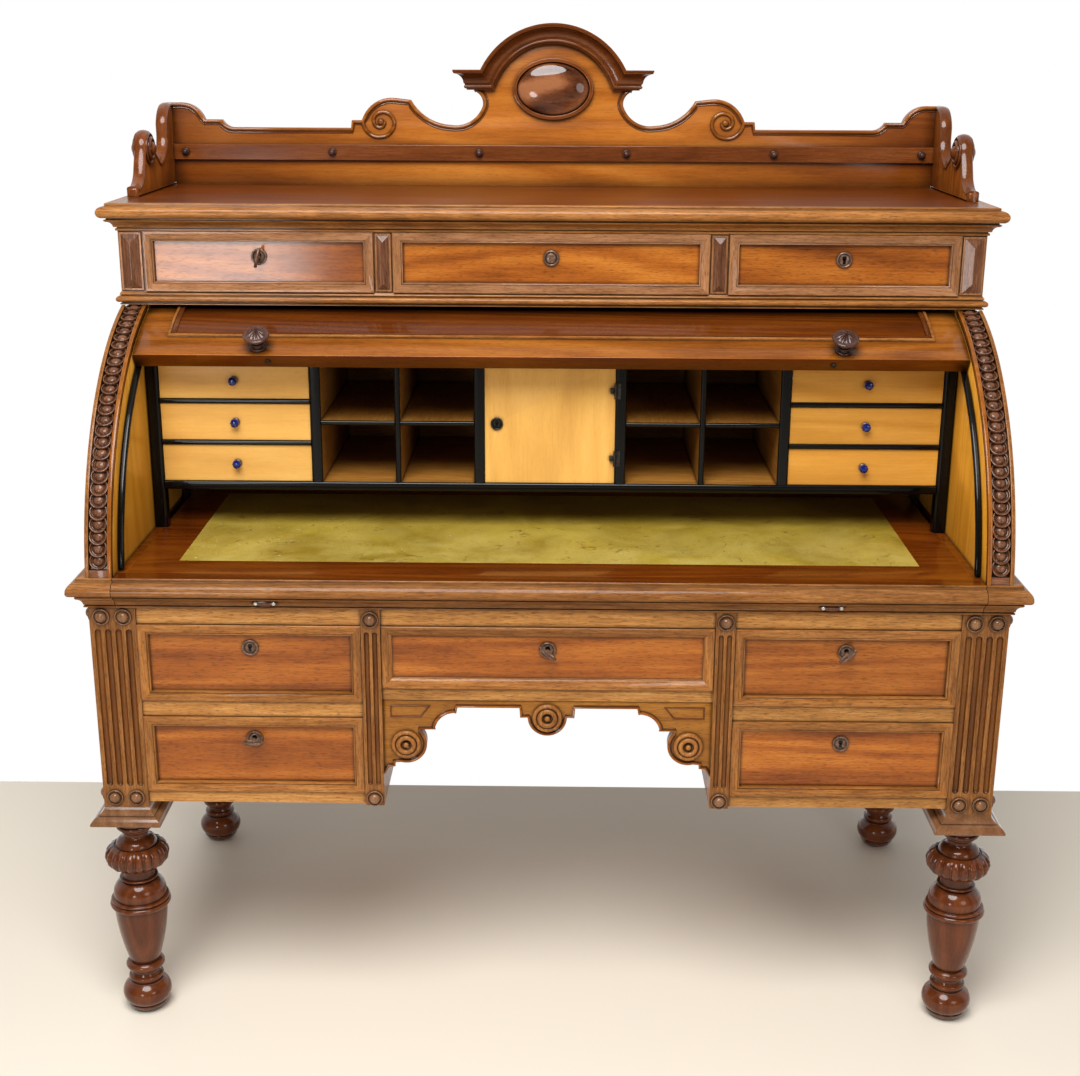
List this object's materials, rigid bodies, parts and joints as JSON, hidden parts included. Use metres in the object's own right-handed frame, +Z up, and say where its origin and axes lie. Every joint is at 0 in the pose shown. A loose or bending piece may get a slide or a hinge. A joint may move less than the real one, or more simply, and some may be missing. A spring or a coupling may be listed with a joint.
{
  "type": "cylinder desk",
  "caption": "Walnut cylinder desk with a roll-up lid, pull-out leather writing slide, fitted maple interior, drawers, turned legs and a carved gallery.",
  "frame": {"origin": "on the floor, under the middle of the desk's width and depth", "axes": "+X to the right as seen by a sitter, +Z up, the front with the drawers faces -Y"},
  "size_m": [1.5064, 0.7472, 1.636],
  "materials": {
    "walnut": "polished figured walnut, mid orange-brown",
    "dark_walnut": "dark polished walnut, red-brown",
    "honey_walnut": "paler walnut, honey-brown",
    "maple": "polished maple, yellow-orange",
    "ebonised": "wood stained black and polished",
    "pine": "plain sawn softwood inside",
    "leather": "olive-yellow writing leather, worn",
    "iron": "dark iron",
    "bronze": "dark bronze"
  },
  "bodies": {
    "desk_case": {"turned_legs": "dark_walnut", "leg_sills": "walnut", "corner_posts": "walnut", "inner_pilasters": "walnut", "turned_studs": "dark_walnut", "front_rails": "honey_walnut", "side_panels": "walnut", "pedestal_walls": "pine", "back_panels": "pine", "dust_boards": "pine", "drawer_guides": "pine", "kneehole_apron": "walnut", "apron_rosettes": "dark_walnut", "desk_top_sides": "walnut", "pivot_pins": "iron", "slide_runners": "pine", "quadrant_sides": "walnut", "coin_mouldings": "walnut", "lid_guides": "ebonised", "frieze_case": "walnut", "top_board": "walnut", "case_mouldings": "walnut", "faceted_blocks": "walnut", "gallery_back": "honey_walnut", "pediment_moulding": "dark_walnut", "oval_boss": "dark_walnut", "peg_rail": "honey_walnut", "gallery_pegs": "dark_walnut", "gallery_brackets": "honey_walnut", "pigeonhole_case": "maple", "black_edging": "ebonised", "door_hinges": "bronze"},
    "lid": {"cylinder_lid": "walnut", "lid_panel_moulding": "dark_walnut", "lid_knobs": "dark_walnut", "lid_arms": "iron"},
    "writing_slide": {"writing_board": "walnut", "leather_panel": "leather", "slide_front": "walnut"},
    "door": {"cupboard_door": "maple", "door_fittings": "bronze"},
    "upper_left_drawer_body": {"upper_left_drawer": "walnut"},
    "upper_right_drawer_body": {"upper_right_drawer": "walnut"},
    "lower_left_drawer_body": {"lower_left_drawer": "walnut"},
    "lower_right_drawer_body": {"lower_right_drawer": "walnut"},
    "centre_drawer_body": {"centre_drawer": "walnut"},
    "frieze_left_drawer_body": {"frieze_left_drawer": "walnut"},
    "frieze_centre_drawer_body": {"frieze_centre_drawer": "walnut"},
    "frieze_right_drawer_body": {"frieze_right_drawer": "walnut"},
    "small_drawer_left_bottom_body": {"small_drawer_left_bottom": "maple"},
    "small_drawer_right_bottom_body": {"small_drawer_right_bottom": "maple"},
    "small_drawer_left_middle_body": {"small_drawer_left_middle": "maple"},
    "small_drawer_right_middle_body": {"small_drawer_right_middle": "maple"},
    "small_drawer_left_top_body": {"small_drawer_left_top": "maple"},
    "small_drawer_right_top_body": {"small_drawer_right_top": "maple"},
    "lower_left_drawer_key_body": {"lower_left_drawer_key": "bronze"},
    "centre_drawer_key_body": {"centre_drawer_key": "bronze"},
    "upper_right_drawer_key_body": {"upper_right_drawer_key": "bronze"},
    "frieze_left_drawer_key_body": {"frieze_left_drawer_key": "bronze"}
  },
  "joints": [
    {"name": "lid_roll", "type": "hinge", "parent": "desk_case", "child": "lid", "pos_m": [0, 0.0905, 0.741], "axis": [-1, 0, 0], "range_deg": [-48.6, 0]},
    {"name": "slide_pull", "type": "slide", "parent": "desk_case", "child": "writing_slide", "axis": [0, -1, 0], "range_m": [0, 0.25]},
    {"name": "door_swing", "type": "hinge", "parent": "desk_case", "child": "door", "pos_m": [0.11025, -0.0811, 0.98344], "axis": [0, 0, 1], "range_deg": [0, 110]},
    {"name": "upper_left_drawer_pull", "type": "slide", "parent": "desk_case", "child": "upper_left_drawer_body", "axis": [0, -1, 0], "range_m": [0, 0.4]},
    {"name": "upper_right_drawer_pull", "type": "slide", "parent": "desk_case", "child": "upper_right_drawer_body", "axis": [0, -1, 0], "range_m": [0, 0.4]},
    {"name": "lower_left_drawer_pull", "type": "slide", "parent": "desk_case", "child": "lower_left_drawer_body", "axis": [0, -1, 0], "range_m": [0, 0.4]},
    {"name": "lower_right_drawer_pull", "type": "slide", "parent": "desk_case", "child": "lower_right_drawer_body", "axis": [0, -1, 0], "range_m": [0, 0.4]},
    {"name": "centre_drawer_pull", "type": "slide", "parent": "desk_case", "child": "centre_drawer_body", "axis": [0, -1, 0], "range_m": [0, 0.4]},
    {"name": "frieze_left_drawer_pull", "type": "slide", "parent": "desk_case", "child": "frieze_left_drawer_body", "axis": [0, -1, 0], "range_m": [0, 0.25]},
    {"name": "frieze_centre_drawer_pull", "type": "slide", "parent": "desk_case", "child": "frieze_centre_drawer_body", "axis": [0, -1, 0], "range_m": [0, 0.25]},
    {"name": "frieze_right_drawer_pull", "type": "slide", "parent": "desk_case", "child": "frieze_right_drawer_body", "axis": [0, -1, 0], "range_m": [0, 0.25]},
    {"name": "small_drawer_left_bottom_pull", "type": "slide", "parent": "desk_case", "child": "small_drawer_left_bottom_body", "axis": [0, -1, 0], "range_m": [0, 0.2]},
    {"name": "small_drawer_right_bottom_pull", "type": "slide", "parent": "desk_case", "child": "small_drawer_right_bottom_body", "axis": [0, -1, 0], "range_m": [0, 0.2]},
    {"name": "small_drawer_left_middle_pull", "type": "slide", "parent": "desk_case", "child": "small_drawer_left_middle_body", "axis": [0, -1, 0], "range_m": [0, 0.2]},
    {"name": "small_drawer_right_middle_pull", "type": "slide", "parent": "desk_case", "child": "small_drawer_right_middle_body", "axis": [0, -1, 0], "range_m": [0, 0.2]},
    {"name": "small_drawer_left_top_pull", "type": "slide", "parent": "desk_case", "child": "small_drawer_left_top_body", "axis": [0, -1, 0], "range_m": [0, 0.2]},
    {"name": "small_drawer_right_top_pull", "type": "slide", "parent": "desk_case", "child": "small_drawer_right_top_body", "axis": [0, -1, 0], "range_m": [0, 0.2]},
    {"name": "lower_left_drawer_key_turn", "type": "hinge", "parent": "lower_left_drawer_body", "child": "lower_left_drawer_key_body", "pos_m": [-0.474, -0.3395, 0.5195], "axis": [0, -1, 0], "range_deg": [0, 90]},
    {"name": "centre_drawer_key_turn", "type": "hinge", "parent": "centre_drawer_body", "child": "centre_drawer_key_body", "pos_m": [0, -0.3395, 0.677], "axis": [0, -1, 0], "range_deg": [0, 90]},
    {"name": "upper_right_drawer_key_turn", "type": "hinge", "parent": "upper_right_drawer_body", "child": "upper_right_drawer_key_body", "pos_m": [0.474, -0.3395, 0.677], "axis": [0, -1, 0], "range_deg": [0, 90]},
    {"name": "frieze_left_drawer_key_turn", "type": "hinge", "parent": "frieze_left_drawer_body", "child": "frieze_left_drawer_key_body", "pos_m": [-0.4893, -0.02543, 1.256], "axis": [0, -1, 0], "range_deg": [0, 90]}
  ]
}
